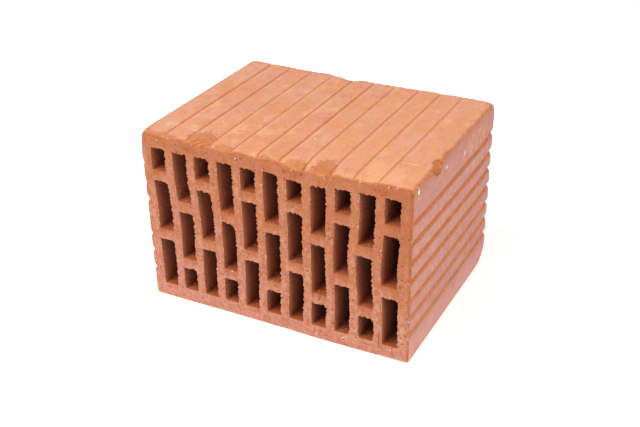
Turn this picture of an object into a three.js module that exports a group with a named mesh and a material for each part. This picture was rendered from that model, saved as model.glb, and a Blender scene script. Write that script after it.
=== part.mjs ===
// Hollow clay building block: extruded with its cells, cut off with a wire and fired in one piece.
//
// Frame: millimetres, +Z up. The block lies on its plain wide face, and its cells run front to
// back along Y. The origin is on the ground, at the middle of the footprint.

import * as THREE from 'three';

// ---- Driving dimensions -------------------------------------------------------------------

const CUT_LENGTH = 217;        // from one wire-cut face to the other, along the cells

// The cells are upright slots in columns: two long ones and a short one in each.
const COLUMNS = 11;
const SLOT_WIDTH = 15.5;
const SHORT_SLOT = 25;
const LONG_SLOT = 54;
const SLOT_CORNER = 1.8;       // radius inside each corner of a slot

// The clay between the slots and around them.
const RIB = 9.35;              // upright, between two columns
const WEB = 12;                // bridge across a column, between two slots
const SIDE_WALL = 12;          // outside the first and the last column
const FACE_WALL = 15;          // above and below every column

// Radii of the four outside edges that run along the cells.
const EDGE = { lowerLeft: 4.5, lowerRight: 2, upperRight: 3.5, upperLeft: 2 };

// Keying grooves for plaster and mortar. Those in the top have a steep left flank and a shallow
// right one. Those in the two sides have even flanks. The underside is plain.
const TOP_GROOVE = { first: 23.5, pitch: 25.6, steep: 2.2, shallow: 3.6, depth: 1.7 };
const SIDE_GROOVE = { first: 38.6, pitch: 19.7, flank: 3.2, depth: 2.5, shoulder: 1.5 };
const PLAIN_BAND = 18;         // least plain width between the last groove and its edge

const CURVE_STEPS = 2;         // a quarter round has twice as many straight steps

// ---- Sizes that follow --------------------------------------------------------------------

const COLUMN_PITCH = SLOT_WIDTH + RIB;
const WIDTH = 2 * SIDE_WALL + COLUMNS * SLOT_WIDTH + (COLUMNS - 1) * RIB;
const HEIGHT = 2 * FACE_WALL + SHORT_SLOT + 2 * LONG_SLOT + 2 * WEB;
const LEFT = -WIDTH / 2;
const RIGHT = WIDTH / 2;

// ---- Material -----------------------------------------------------------------------------

const firedClay = new THREE.MeshStandardMaterial({
  name: 'fired_clay',
  color: 0xd0855c,
  roughness: 0.92,
  metalness: 0,
});

// ---- The section, drawn from the front with x to the right and y up -------------------------

// How far each groove of a row lies from the edge that the row starts at.
function grooveRow({ first, pitch }, span) {
  const count = Math.floor((span - first - PLAIN_BAND) / pitch) + 1;
  return Array.from({ length: count }, (_, i) => first + i * pitch);
}

// One groove in the top, drawn to the left.
function cutTopGroove(shape, x) {
  const { steep, shallow, depth } = TOP_GROOVE;
  shape.lineTo(x + shallow, HEIGHT);
  shape.lineTo(x, HEIGHT - depth);
  shape.lineTo(x - steep, HEIGHT);
}

// One groove in a side, drawn up the right side or down the left one. Each flank runs into the
// side over a soft shoulder.
function cutSideGroove(shape, x, y) {
  const { flank, depth, shoulder } = SIDE_GROOVE;
  const outward = Math.sign(x);
  const slope = Math.hypot(flank, depth);
  const alongFlank = { x: (depth / slope) * shoulder, y: (flank / slope) * shoulder };
  const flankTop = x - outward * alongFlank.x;
  const rise = outward * (flank - alongFlank.y);

  shape.lineTo(x, y - outward * (flank + shoulder));
  shape.quadraticCurveTo(x, y - outward * flank, flankTop, y - rise);
  shape.lineTo(x - outward * depth, y);
  shape.lineTo(flankTop, y + rise);
  shape.quadraticCurveTo(x, y + outward * flank, x, y + outward * (flank + shoulder));
}

// The outside of the block, anticlockwise from the left end of the underside.
function drawOutline() {
  const shape = new THREE.Shape();
  const { lowerLeft, lowerRight, upperRight, upperLeft } = EDGE;
  const topRow = grooveRow(TOP_GROOVE, WIDTH).map((distance) => LEFT + distance);
  const sideRow = grooveRow(SIDE_GROOVE, HEIGHT).map((distance) => HEIGHT - distance);
  const quarter = Math.PI / 2;

  shape.moveTo(LEFT + lowerLeft, 0);
  shape.absarc(RIGHT - lowerRight, lowerRight, lowerRight, -quarter, 0);
  sideRow.toReversed().forEach((y) => cutSideGroove(shape, RIGHT, y));
  shape.absarc(RIGHT - upperRight, HEIGHT - upperRight, upperRight, 0, quarter);
  topRow.toReversed().forEach((x) => cutTopGroove(shape, x));
  shape.absarc(LEFT + upperLeft, HEIGHT - upperLeft, upperLeft, quarter, 2 * quarter);
  sideRow.forEach((y) => cutSideGroove(shape, LEFT, y));
  shape.absarc(LEFT + lowerLeft, lowerLeft, lowerLeft, 2 * quarter, 3 * quarter);
  return shape;
}

// One slot, clockwise, with its left side at x and its lower end at y.
function drawSlot(x, y, height) {
  const slot = new THREE.Path();
  const quarter = Math.PI / 2;
  const [left, right] = [x + SLOT_CORNER, x + SLOT_WIDTH - SLOT_CORNER];
  const [low, high] = [y + SLOT_CORNER, y + height - SLOT_CORNER];

  slot.moveTo(left, y);
  slot.absarc(left, low, SLOT_CORNER, 3 * quarter, 2 * quarter, true);
  slot.absarc(left, high, SLOT_CORNER, 2 * quarter, quarter, true);
  slot.absarc(right, high, SLOT_CORNER, quarter, 0, true);
  slot.absarc(right, low, SLOT_CORNER, 0, -quarter, true);
  return slot;
}

// Every slot. The short one is at the top of the first column and changes ends from each column
// to the next, so that the webs are staggered.
function drawSlots() {
  const slots = [];
  for (let column = 0; column < COLUMNS; column++) {
    const upwards = [LONG_SLOT, LONG_SLOT, SHORT_SLOT];
    if (column % 2 === 1) upwards.reverse();
    let y = FACE_WALL;
    for (const height of upwards) {
      slots.push(drawSlot(LEFT + SIDE_WALL + column * COLUMN_PITCH, y, height));
      y += height + WEB;
    }
  }
  return slots;
}

// ---- The block ----------------------------------------------------------------------------

// The section is extruded along its own third axis, and the mesh is stood up so that this axis
// runs from the back cut face to the front one.
function makeClayBlock() {
  const section = drawOutline();
  section.holes.push(...drawSlots());
  const geometry = new THREE.ExtrudeGeometry(section, {
    depth: CUT_LENGTH,
    bevelEnabled: false,
    curveSegments: CURVE_STEPS,
  });
  const block = new THREE.Mesh(geometry, firedClay);
  block.name = 'clay_block';
  block.rotation.x = Math.PI / 2;
  block.position.y = CUT_LENGTH / 2;
  return block;
}

const group = new THREE.Group();
group.add(makeClayBlock());

export default group;
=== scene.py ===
"""Hollow clay block: pressed clay drawn out with its slots, cut off with a wire and fired.

The block is modelled as one piece around the loaded frame: a sheet of its section is gridded,
the slots are cut out of it, it is drawn out along Y, and its edges are then worn and chipped.
"""

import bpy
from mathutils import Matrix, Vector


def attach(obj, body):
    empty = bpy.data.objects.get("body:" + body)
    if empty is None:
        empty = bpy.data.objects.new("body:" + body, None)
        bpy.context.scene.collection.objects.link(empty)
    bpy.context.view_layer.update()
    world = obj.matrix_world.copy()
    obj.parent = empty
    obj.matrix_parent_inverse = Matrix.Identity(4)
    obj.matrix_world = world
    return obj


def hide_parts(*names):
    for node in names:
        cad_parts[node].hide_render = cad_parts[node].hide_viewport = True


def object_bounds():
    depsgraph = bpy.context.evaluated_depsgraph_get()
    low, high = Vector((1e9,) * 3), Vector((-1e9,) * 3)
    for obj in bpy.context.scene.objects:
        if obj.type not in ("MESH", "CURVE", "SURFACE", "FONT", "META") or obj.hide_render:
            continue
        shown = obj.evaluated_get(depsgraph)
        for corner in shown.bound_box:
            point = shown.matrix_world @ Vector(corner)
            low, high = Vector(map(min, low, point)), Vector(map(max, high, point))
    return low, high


bl_info = {
    "name": "Hollow Clay Block",
    "version": (1, 0, 0),
    "blender": (4, 5, 0),
    "location": "View3D > Sidebar > Clay Block",
    "description": "Builds a worn hollow clay block with slots and keying grooves, and its stage",
    "category": "Add Mesh",
}

import math

import bmesh
import bpy
import numpy as np
from mathutils import Matrix, Vector, noise

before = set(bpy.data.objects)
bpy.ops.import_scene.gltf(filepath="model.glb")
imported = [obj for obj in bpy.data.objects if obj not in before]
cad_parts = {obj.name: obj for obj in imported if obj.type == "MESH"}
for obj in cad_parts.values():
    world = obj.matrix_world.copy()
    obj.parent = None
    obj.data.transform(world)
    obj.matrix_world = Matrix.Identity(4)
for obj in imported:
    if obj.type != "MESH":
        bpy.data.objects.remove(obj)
CAD_BOX = [list(corner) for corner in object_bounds()]
LOW, HIGH = (np.array(corner) for corner in CAD_BOX)

MM = 0.001
# The sides of the block, in millimetres. It stands on the ground.
LEFT, FRONT = LOW[:2] / MM
RIGHT, BACK, TOP = HIGH / MM


# ---- Settings -----------------------------------------------------------------------------


def srgb(red, green, blue):
    """A screen colour of 0 to 255 in Blender's linear values."""
    shares = (red / 255, green / 255, blue / 255)
    return tuple(v / 12.92 if v <= 0.04045 else ((v + 0.055) / 1.055) ** 2.4 for v in shares)


def length(name, millimetres, description):
    return bpy.props.FloatProperty(
        name=name, description=description, default=millimetres * MM,
        min=0.0, precision=5, subtype="DISTANCE", unit="LENGTH",
    )


def colour(name, screen, description):
    return bpy.props.FloatVectorProperty(
        name=name, description=description, default=srgb(*screen),
        size=3, min=0.0, max=1.0, subtype="COLOR",
    )


def amount(name, default, description, most=10.0):
    return bpy.props.FloatProperty(
        name=name, description=description, default=default, min=0.0, max=most,
    )


class ClaySection(bpy.types.PropertyGroup):
    columns: bpy.props.IntProperty(
        name="Columns", description="Columns of slots across the block", default=11, min=1)
    slot_width: length("Slot Width", 15.5, "Width of every slot")
    short_slot: length("Short Slot", 25, "Height of the one short slot in each column")
    long_slot: length("Long Slot", 54, "Height of the two long slots in each column")
    slot_corner: length("Slot Corner", 1.3, "Least radius inside the corners of a slot")
    rib: length("Rib", 9.35, "Clay between two columns")
    web: length("Web", 12, "Clay between two slots of a column")
    side_wall: length("Side Wall", 12, "Clay outside the first and the last column")
    face_wall: length("Face Wall", 15, "Clay above and below every column")
    upper_left: length("Upper Left Edge", 2, "Radius of the edge along the block")
    upper_right: length("Upper Right Edge", 3.5, "Radius of the edge along the block")
    lower_left: length("Lower Left Edge", 1.7, "Radius of the edge along the block")
    lower_right: length("Lower Right Edge", 3, "Radius of the edge along the block")
    cell: length("Grid Cell", 1.25, "Size of the cells that the section is divided into")


class KeyGrooves(bpy.types.PropertyGroup):
    top_first: length("First in Top", 23.5, "First groove, from the left edge of the top")
    top_pitch: length("Top Pitch", 25.6, "From one groove in the top to the next")
    top_steep: length("Steep Flank", 1.9, "Width of the left flank of a groove in the top")
    top_shallow: length("Shallow Flank", 3.6, "Width of the right flank of a groove in the top")
    top_depth: length("Top Depth", 1.5, "Depth of the grooves in the top")
    side_first: length("First in Side", 38.6, "First groove, down from the top of a side")
    side_pitch: length("Side Pitch", 19.7, "From one groove in a side to the next")
    side_flank: length("Side Flank", 3.5, "Width of either flank of a groove in a side")
    side_depth: length("Side Depth", 2.3, "Depth of the grooves in the sides")
    side_shoulder: length("Shoulder", 1.5, "Rounding where a flank meets the side")
    plain: length("Plain Band", 18, "Least width between the last groove and its edge")


class EdgeWear(bpy.types.PropertyGroup):
    seed: bpy.props.IntProperty(name="Seed", description="Seed of all random wear", default=7)
    right_teeth: length("Right Rim Teeth", 0.9, "Torn teeth along the right rims of the slots")
    top_teeth: length("Top Rim Teeth", 1.1, "Torn teeth along the upper rims of the slots")
    left_teeth: length("Left Rim Teeth", 0.3, "Nicks along the left rims of the slots")
    low_teeth: length("Lower Rim Teeth", 0.15, "Nicks along the lower rims of the slots")
    tooth: length("Tooth Size", 2.2, "From one torn tooth to the next")
    cut_waves: length("Cut Waves", 0.3, "Unevenness of the wire-cut faces")
    skin_waves: length("Skin Waves", 0.3, "Unevenness of the pressed faces")
    edge_drop: length("Edge Drop", 1.5, "Least drop of the worn front edge of the top")
    foot_lift: length("Foot Lift", 1.0, "How far the front edge of the underside is rubbed off")
    burr: length("Burr", 0.6, "How far the upper rims of the slots stand out")
    fine_nicks: length("Fine Nicks", 0.5, "Fine nicks in the front edge of the top")


class ClayColours(bpy.types.PropertyGroup):
    skin: colour("Pressed Skin", (235, 162, 122), "Pressed faces of the block")
    skin_dark: colour("Skin Shade", (227, 147, 105), "Darker clouds in the pressed faces")
    skin_pale: colour("Skin Bloom", (232, 170, 143), "Pale pinkish bloom on the top")
    # Also the painted highlight on the shoulders of the top grooves.
    skin_glow_and_highlight: colour("Skin Glow", (247, 178, 136), "Bright peach patches on the top")
    cream: colour("Cream Bloom", (250, 207, 166), "Cream specks on the top")
    side: colour("Side Bloom", (209, 151, 143), "Pinkish bloom on the ridges of the sides")
    side_warm: colour("Side Strokes", (223, 162, 147), "Warmer strokes on the sides")
    side_bloom: colour("Side Glow", (229, 163, 143), "Salmon strokes high on the right side")
    side_dark: colour("Side Shade", (199, 141, 125), "Darker clouds on the sides")
    foot: colour("Foot Bloom", (229, 171, 160), "Paler bloom low on the sides")
    bare: colour("Bare Clay", (222, 141, 89), "Worn edges, where the bare clay shows")
    bare_dark: colour("Torn Clay", (200, 116, 68), "Coarse grains of the bare clay, and its chips")
    side_brown: colour("Side Brown", (192, 126, 98), "Rubbed band along the top of the sides")
    groove: colour("Groove", (200, 118, 75), "Bottoms of the keying grooves")
    groove_low: colour("Golden Groove", (205, 132, 87), "Bottoms of the grooves low on the sides")
    groove_dark: colour("Brown Dashes", (180, 113, 78), "Darker dashes in the grooves")
    groove_bright: colour("Orange Dashes", (224, 134, 84), "Brighter dashes in the grooves")
    cut: colour("Cut Clay", (212, 136, 96), "Wire-cut faces")
    cut_dark: colour("Cut Shade", (197, 116, 78), "Darker patches of the cut faces")
    cut_pale: colour("Cut Bloom", (231, 167, 137), "Pinkish bloom on the cut faces")
    cut_pink: colour("Cut Pink", (226, 155, 143), "Lilac-pink patches of the cut faces")
    # A dark tone: painted shade beside the slots, darker clay below them and along the top, darker
    # patches and drag marks.
    cut_marks_and_shade: colour("Cut Stain", (184, 96, 47), "Stained patches and edges of the cut faces")
    cell: colour("Slot Clay", (190, 111, 77), "Walls inside the slots, near their mouths")
    # Also the painted shade deep inside the slots and under their upper ends, besides darker streaks
    # and grains.
    cell_grain_and_shade: colour("Deep Slot Clay", (112, 86, 82), "Walls deep inside the slots")
    sill: colour("Slot Floors", (200, 104, 48), "Lower faces of the slots")
    # Also the painted shade deep in the slot floors.
    pit_and_shade: colour("Pits", (136, 60, 40), "Small dark pits")
    lime: colour("Lime Grains", (250, 243, 236), "Small white grains")


class StageSettings(bpy.types.PropertyGroup):
    floor: colour("Floor", (247, 246, 245), "Plain pale floor")
    world_light: amount("Surrounding Light", 0.4, "Even light from all around")
    key_light: amount("Key Light", 23.0, "Power in watts of the large soft lamp", most=1000.0)
    fill_light: amount("Fill Light", 13.0, "Power in watts of the soft lamp on the right", most=1000.0)
    floor_glow: amount("Floor Glow", 0.5, "How much brighter the camera sees the floor")
    lens: bpy.props.FloatProperty(
        name="Lens", description="Focal length in millimetres on a 36 mm sensor",
        default=56.38, min=1.0, subtype="DISTANCE_CAMERA", unit="CAMERA")


# ---- Soft steps and bumps ---------------------------------------------------------------------


def fade_in(value, low, high):
    """0 up to the low value, 1 from the high one, and smooth between them."""
    share = np.clip((value - low) / (high - low), 0, 1)
    return share * share * (3 - 2 * share)


def fall(gap, reach, power=1.0):
    """1 at a gap of 0, down to 0 at the reach."""
    return np.clip(1 - gap / reach, 0, 1) ** power


def bell(gap, reach):
    """A soft bump of height 1 around a gap of 0."""
    return np.exp(-((gap / reach) ** 2))


def bumps_at(x, bumps):
    """Soft bumps along x. Each has its middle, half width and height in millimetres."""
    return sum(height * MM * bell(x / MM - middle, half) for middle, half, height in bumps)


def ripple(points, size):
    """Smooth noise between about -1 and 1 at each point, with features of the given size."""
    fade, finer, layers = 1.0, 2.0, 2
    return np.array([
        noise.fractal(Vector(p) / size, fade, finer, layers, noise_basis="PERLIN_ORIGINAL")
        for p in points
    ])


# ---- The section of the block ----------------------------------------------------------------


def divide(spans, cell):
    """Places of the lines that divide a row of spans into cells, and each span's end line."""
    places, ends = [0.0], [0]
    for span in spans:
        count = max(1, round(span / cell))
        start = places[-1]
        places.extend(start + span * (step + 1) / count for step in range(count))
        ends.append(len(places) - 1)
    return np.array(places), ends


def groove_row(first, pitch, plain, span):
    """How far each groove of a row lies from the edge that the row starts at."""
    count = int((span - first - plain) / pitch + 1e-6) + 1
    return first + pitch * np.arange(count)


def pull_to(lines, row, beside, first):
    """The lines pulled onto every groove of a row, and the ones between spread evenly.

    beside gives the places of lines next to one another, from a groove's middle. The first of
    them is so many lines from the one nearest to the middle.
    """
    kept = {0: lines[0], len(lines) - 1: lines[-1]}
    for middle in row:
        near = int(np.argmin(abs(lines - middle))) + first
        kept.update({near + n: middle + step for n, step in enumerate(beside)})
    return np.interp(np.arange(len(lines)), sorted(kept), [kept[i] for i in sorted(kept)])


def round_corner(x, z, centre, radius, out):
    """Points in the square at one corner drawn in onto its quarter round. out says which corner."""
    u, v = (x - centre[0]) / radius * out[0], (z - centre[1]) / radius * out[1]
    inside = (u > 0) & (v > 0)
    shrink = np.where(inside, np.maximum(u, v) / np.maximum(np.hypot(u, v), 1e-9), 1.0)
    return (
        np.where(inside, centre[0] + u * shrink * radius * out[0], x),
        np.where(inside, centre[1] + v * shrink * radius * out[1], z),
    )


# How the kiln drew the section out of true. Each pull has its middle, its reach and its shift,
# all across and up in millimetres.
KILN_PULLS = (
    ((-120, 160), (40, 35), (-2.2, 0.3)),
    ((-75, 160), (30, 30), (-1.4, -0.3)),
    ((LEFT, 82), (19, 75), (-2.7, 0)),
    ((42, 175), (22, 12), (0, -2.9)),
    ((80, 160), (30, 20), (0.6, 0)),
    ((105, 95), (50, 30), (-2.8, 0.6)),
    ((0, 70), (70, 40), (0, 0.9)),
    ((-95, 90), (45, 25), (1.1, 0)),
    ((10, 22), (90, 18), (-1.2, 0)),
    ((-20, 38), (100, 12), (0, 1.1)),
    ((-50, 68), (35, 12), (0, 0.6)),
    ((100, 68), (40, 12), (0, -1.0)),
    ((20, 104), (90, 12), (0, 1.1)),
    ((0, 133), (160, 12), (0, 0.8)),
    ((110, 172), (30, 12), (0, 1.3)),
    ((10, 172), (60, 12), (0, -0.8)),
    ((LEFT, 160), (9, 9), (-2.0, 0)),
    ((LEFT, 97), (9, 7), (-1.5, 0)),
    ((-130, 108), (9, 26), (1.1, 0)),
    ((-126, 42), (12, 26), (0.9, 0)),
    ((0, 28), (12, 22), (-0.7, 0)),
    ((0, 145), (12, 25), (-0.8, 0)),
    ((99, 79), (12, 22), (-0.7, 0)),
    ((-75, 132), (12, 42), (-0.6, 0)),
    ((75, 108), (12, 24), (-0.6, 0)),
    ((0, 172), (11, 10), (0, 1.1)),
    ((-99, 172), (11, 10), (0, -1.0)),
)
# How far each groove strays from its even row, and how deep it is beside the others.
TOP_STRAYS = (1.8, 1.0, 1.5, 1.3, 1.5, 0.5, -0.5, 1.0, -0.5, -1.5)
TOP_DEPTHS = (1.0, 1.03, 0.88, 0.86, 0.97, 1.03, 0.88, 0.88, 0.89, 0.84)
RIGHT_STRAYS = (1.3, 0.05, 0.2, -0.2, -1.0, 0.05, 0.6)
RIGHT_DEPTHS = (1.0,)
LEFT_STRAYS = (5.2, 2.0, 4.0, 4.6, 3.0, 3.8, 2.6)
LEFT_DEPTHS = (0.7, 0.6, 1.3, 0.55, 0.9, 1.1, 1.0)
# Slot corners that broke at the front, and the radius that each was left with. They are listed
# by the way that the corner points, then by column and by slot from the bottom.
BROKEN_CORNERS = {
    (1, 1): {
        (0, 0): 5, (0, 1): 3, (1, 0): 3.2, (2, 1): 3.4, (2, 2): 3.4, (3, 1): 9, (4, 2): 3.6,
        (6, 0): 3, (6, 1): 3.6, (7, 0): 3, (9, 0): 4, (9, 1): 3.6, (9, 2): 3, (10, 0): 3,
        (10, 1): 4,
    },
    (1, -1): {(8, 0): 4},
    (-1, -1): {(9, 0): 4},
}
WORN_CORNER = 1.8              # radius of an upper right corner that isn't listed
BACK_CORNER = 2.5              # most that a corner at the back lost on top of its radius
LEFT_HOLD = 0.6                # share of a pull that the left side withstands
SHOULDER = (4.2, 1.8)          # painted highlight on the shoulder of a top groove: its middle and its half width
ROOF_SHADE = 22 * MM           # how far down from its upper end a slot has painted shade
# How far painted shade reaches beside a slot and darker clay below it and along the top, how many
# lines of the grid the first two take in, and how strong the shade beside a slot and the top band are.
SHADE_BESIDE, DARKER_BELOW, DARKER_TOP = 3 * MM, 9 * MM, 4 * MM
LINES_BESIDE, LINES_BELOW = 3, 8
FAINT_DARKENING = 0.6
# What the section knows of each point, beside its place, as a share from 0 to 1. The depth of the
# teeth is in metres.
# Some marks are painted light: the highlight beside the top grooves, and the shade beside the slots
# and under their upper ends.
MARKS = (
    "grooved", "painted_shoulder_highlight", "edged", "teeth", "burred", "sill", "crumbed", "shaded", "painted_roof_shade",
)


class Section:
    """The section as a grid of points, with the slots and grooves in it. Arrays run [x, z]."""

    def __init__(self, size, groove, wear):
        self.size, self.groove, self.wear = size, groove, wear
        self.random = np.random.default_rng(wear.seed)
        self.lay_lines()
        self.place_slots()
        self.shape_top()
        self.shape_sides()
        self.round_edges()
        self.pull_out_of_true()
        even = self.round_slots(lambda slot, out: size.slot_corner)
        self.broken = [
            [worn - plain for worn, plain in zip(self.round_slots(corner), even)]
            for corner in (self.front_corner, self.back_corner)
        ]
        self.x, self.z = even
        self.mark_rims()

    def lay_lines(self):
        size = self.size
        across = [size.side_wall] + [size.slot_width, size.rib] * size.columns
        across[-1] = size.side_wall
        self.runs, breaks = [], {0.0, HIGH[2]}
        for heights in ((size.long_slot, size.long_slot, size.short_slot),
                        (size.short_slot, size.long_slot, size.long_slot)):
            z, slots = size.face_wall, []
            for height in heights:
                slots.append((round(z, 7), round(z + height, 7)))
                z += height + size.web
            self.runs.append(slots)
            breaks.update(end for slot in slots for end in slot)
        breaks = sorted(breaks)
        self.lines_x, self.ends_x = divide(across, size.cell)
        self.lines_x = self.lines_x + LOW[0]
        self.lines_z, ends = divide(np.diff(breaks), size.cell)
        self.z_index = dict(zip(breaks, ends))
        self.x, self.z = np.meshgrid(self.lines_x, self.lines_z, indexing="ij")
        self.marks = {name: np.zeros(self.x.shape) for name in MARKS}

    def place_slots(self):
        """Each slot's column, its number from the bottom, and its first and last lines."""
        self.slots = []
        for column in range(self.size.columns):
            left, right = self.ends_x[2 * column + 1], self.ends_x[2 * column + 2]
            for number, (low, high) in enumerate(self.runs[column % 2]):
                lines = (left, right, self.z_index[low], self.z_index[high])
                self.slots.append(((column, number), lines))

    def shape_top(self):
        g = self.groove
        row = LOW[0] + groove_row(g.top_first, g.top_pitch, g.plain, HIGH[0] - LOW[0])
        row = row + np.resize(TOP_STRAYS, len(row)) * MM
        lip = 0.5 * MM
        beside = (-g.top_steep - lip, -g.top_steep, 0.0, g.top_shallow / 2, g.top_shallow,
                  g.top_shallow + lip)
        moved = pull_to(self.lines_x, row, beside, first=-2)
        profile, shoulder_highlights = np.zeros(len(moved)), np.zeros(len(moved))
        for x, depth in zip(row, np.resize(TOP_DEPTHS, len(row))):
            gap = moved - x
            share = 1 - np.where(gap < 0, -gap / g.top_steep, gap / g.top_shallow)
            profile = np.maximum(profile, depth * share)
            # Painted highlight on the shallow shoulder to the right of each groove.
            shoulder_highlights += bell(gap / MM - SHOULDER[0], SHOULDER[1])
        fade = fall(HIGH[2] - self.lines_z, self.size.face_wall)[None, :]
        self.x += (moved - self.lines_x)[:, None] * fade
        self.z -= g.top_depth * profile[:, None] * fade
        self.marks["grooved"][:, -1] = profile
        self.marks["painted_shoulder_highlight"][:, -1] = shoulder_highlights

    def shape_sides(self):
        g, flank_curve, shoulder_share = self.groove, 1.15, 0.8
        even = HIGH[2] - groove_row(g.side_first, g.side_pitch, g.plain, HIGH[2])
        reach = g.side_flank + g.side_shoulder * shoulder_share
        beside = (-reach, -reach / 2, 0.0, reach / 2, reach)
        for edge, sign, strays, depths in (
            (LOW[0], -1, LEFT_STRAYS, LEFT_DEPTHS), (HIGH[0], 1, RIGHT_STRAYS, RIGHT_DEPTHS),
        ):
            row = even + np.resize(strays, len(even)) * MM
            moved = pull_to(self.lines_z, row[::-1], beside, first=-2)
            profile = np.zeros(len(moved))
            for z, depth in zip(row, np.resize(depths, len(row))):
                profile = np.maximum(profile, depth * fall(abs(moved - z), reach, flank_curve))
            fade = fall(abs(self.lines_x - edge), self.size.side_wall)[:, None]
            self.z += (moved - self.lines_z)[None, :] * fade
            self.x -= sign * g.side_depth * profile[None, :] * fade
            self.marks["grooved"][0 if sign < 0 else -1, :] = profile

    def round_edges(self):
        size, edged, worn_past = self.size, self.marks["edged"], 1.35
        for radius, out in (
            (size.upper_left, (-1, 1)), (size.upper_right, (1, 1)),
            (size.lower_left, (-1, -1)), (size.lower_right, (1, -1)),
        ):
            corner = (HIGH[0] if out[0] > 0 else LOW[0], HIGH[2] if out[1] > 0 else 0.0)
            centre = (corner[0] - out[0] * radius, corner[1] - out[1] * radius)
            gap = np.hypot(self.x - corner[0], self.z - corner[1]) / radius
            np.maximum(edged, np.clip(worn_past - gap, 0, 1), out=edged)
            self.x, self.z = round_corner(self.x, self.z, centre, radius, out)

    def pull_out_of_true(self):
        """Draws the slots askew. The outside stays straight, apart from a little on the left."""
        wall = self.size.side_wall
        give_x = 1 - fall(HIGH[0] - self.x, wall)
        give_x *= 1 - LEFT_HOLD * fall(self.x - LOW[0], wall)
        give_z = 1 - fall(np.minimum(HIGH[2] - self.z, self.z), wall)
        x, z = self.x / MM, self.z / MM
        for middle, reach, shift in KILN_PULLS:
            pull = bell(x - middle[0], reach[0]) * bell(z - middle[1], reach[1])
            self.x += shift[0] * MM * pull * give_x
            self.z += shift[1] * MM * pull * give_z

    def front_corner(self, slot, out):
        broken = BROKEN_CORNERS.get(out, {}).get(slot, WORN_CORNER if out == (1, 1) else 0.0)
        return max(broken * MM, self.size.slot_corner)

    def back_corner(self, slot, out):
        return self.size.slot_corner + BACK_CORNER * MM * self.random.random() ** 2

    def round_slots(self, radius_of):
        """The grid's places with every slot corner rounded to its radius."""
        new_x, new_z = self.x.copy(), self.z.copy()
        for slot, (left, right, low, high) in self.slots:
            block = (slice(left, right + 1), slice(low, high + 1))
            x, z = self.x[block], self.z[block]
            for out in ((1, 1), (1, -1), (-1, 1), (-1, -1)):
                radius = radius_of(slot, out)
                at = (right if out[0] > 0 else left, high if out[1] > 0 else low)
                centre = (self.x[at] - out[0] * radius, self.z[at] - out[1] * radius)
                x, z = round_corner(x, z, centre, radius, out)
            new_x[block], new_z[block] = x, z
        return new_x, new_z

    def mark_rims(self):
        """Notes which way each rim faces out of its slot, and how deep its teeth are."""
        marks, wear = self.marks, self.wear
        self.rim = np.zeros(self.x.shape + (2,))
        for (_, number), (left, right, low, high) in self.slots:
            for spot, out, size in (
                ((left, slice(low, high + 1)), (-1, 0), wear.left_teeth),
                ((right, slice(low, high + 1)), (1, 0), wear.right_teeth),
                ((slice(left, right + 1), low), (0, -1), wear.low_teeth),
                ((slice(left, right + 1), high), (0, 1), wear.top_teeth),
            ):
                self.rim[spot] += out
                marks["burred"][spot] = max(out[1], 0)
                marks["sill"][spot] = max(-out[1], 0)
                marks["crumbed"][spot] = max(-out[0], 0)
                marks["teeth"][spot] = np.maximum(marks["teeth"][spot], size)
            self.shade_around(number, left, right, low, high)
        lengths = np.linalg.norm(self.rim, axis=2, keepdims=True)
        self.rim = np.where(lengths > 0, self.rim / np.maximum(lengths, 1e-9), 0.0)
        # The band along the top is darker too.
        marks["shaded"] += FAINT_DARKENING * fade_in(self.lines_z, HIGH[2] - DARKER_TOP, HIGH[2])

    def shade_around(self, number, left, right, low, high):
        """Notes the painted shade beside a slot, the darker clay below it, and the painted shade at
        its upper end.
        """
        x, z, shaded = self.lines_x, self.lines_z, self.marks["shaded"]
        wide, tall = slice(left, right + 1), slice(low, high + 1)
        beside, below = slice(left - LINES_BESIDE, left + 1), slice(low - LINES_BELOW, low + 1)
        # Painted shade on the clay beside the left rim of the slot.
        darkening = FAINT_DARKENING * fall(x[left] - x[beside], SHADE_BESIDE)[:, None]
        shaded[beside, tall] = np.maximum(shaded[beside, tall], darkening)
        if number > 0:
            # Darker clay on the web below the slot.
            darkening = fall(z[low] - z[below], DARKER_BELOW)[None, :]
            shaded[wide, below] = np.maximum(shaded[wide, below], darkening)
        # Painted shade under the upper end of the slot.
        self.marks["painted_roof_shade"][wide, tall] = fall(z[high] - z[tall], ROOF_SHADE)[None, :]

    def in_slot(self, i, j):
        """Whether the cell after line i and line j lies in a slot."""
        return any(l <= i < r and b <= j < t for _, (l, r, b, t) in self.slots)


# ---- Modelling helpers -----------------------------------------------------------------------


def deselect_all():
    if bpy.context.object and bpy.context.object.mode != "OBJECT":
        bpy.ops.object.mode_set(mode="OBJECT")
    bpy.ops.object.select_all(action="DESELECT")


def in_edit_mode(obj, kind="FACE"):
    bpy.context.view_layer.objects.active = obj
    bpy.ops.object.mode_set(mode="EDIT")
    bpy.ops.mesh.select_mode(type=kind)
    bpy.ops.mesh.select_all(action="DESELECT")
    return bmesh.from_edit_mesh(obj.data)


def read_points(mesh):
    points = np.empty(len(mesh.vertices) * 3)
    mesh.vertices.foreach_get("co", points)
    return points.reshape(-1, 3)


def write_points(mesh, points):
    mesh.vertices.foreach_set("co", points.ravel())
    mesh.update()


# ---- The block ------------------------------------------------------------------------------

# Rows along the block, in millimetres behind the front cut face and before the back one.
FRONT_ROWS = (0.8, 2, 4, 7.5, 13, 20, 45, 73, 130)
BACK_ROWS = (32, 17, 9, 4.5, 1.5, 0)
CHIP_ROWS = (45, 73)           # the chip in the upper right edge lies between these two
CHIP_FROM = (129, 163)         # the cross cuts for it start this far to the right and up
CHIP_CUTS = 19
CHIP_BITES = (
    ((RIGHT + 2.5, -48.5, TOP + 0.5), (9, 8, 12)), ((RIGHT + 2, -56, TOP), (5, 7.5, 9.5)),
)
CHIP_LIMIT = 125               # nothing to the left of this is bitten
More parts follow.
